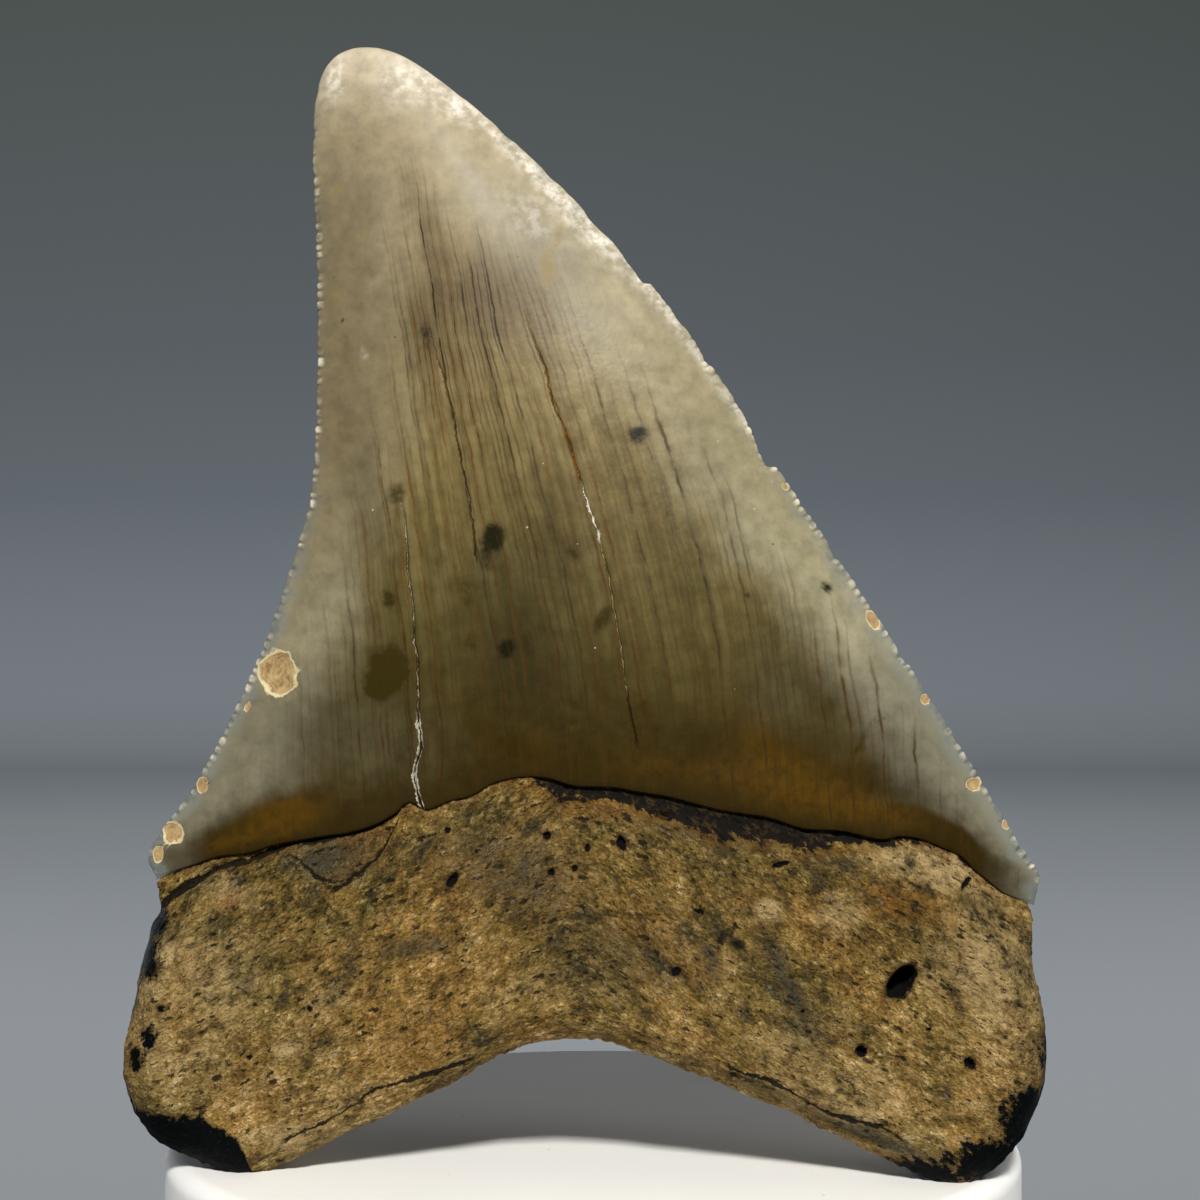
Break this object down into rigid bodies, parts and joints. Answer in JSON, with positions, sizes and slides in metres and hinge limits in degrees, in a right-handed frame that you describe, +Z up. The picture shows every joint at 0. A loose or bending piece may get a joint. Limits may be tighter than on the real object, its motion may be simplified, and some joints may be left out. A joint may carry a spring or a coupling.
{
  "type": "megalodon tooth on a display block",
  "caption": "Fossil megalodon tooth with a hooked serrated crown and a two-lobed root, standing on a plain low round white block.",
  "frame": {"origin": "centre of the display block's flat underside", "axes": "+Z up along the block's axis; the tooth's flatter labial face looks along -Y, turned 3.2 degrees, and its tip hooks towards -X"},
  "size_m": [0.0654, 0.0642, 0.1036],
  "materials": {
    "fossil_tooth": "satin",
    "white_block": "satin"
  },
  "bodies": {
    "root": {"tooth": "fossil_tooth", "display_block": "white_block"}
  },
  "joints": []
}
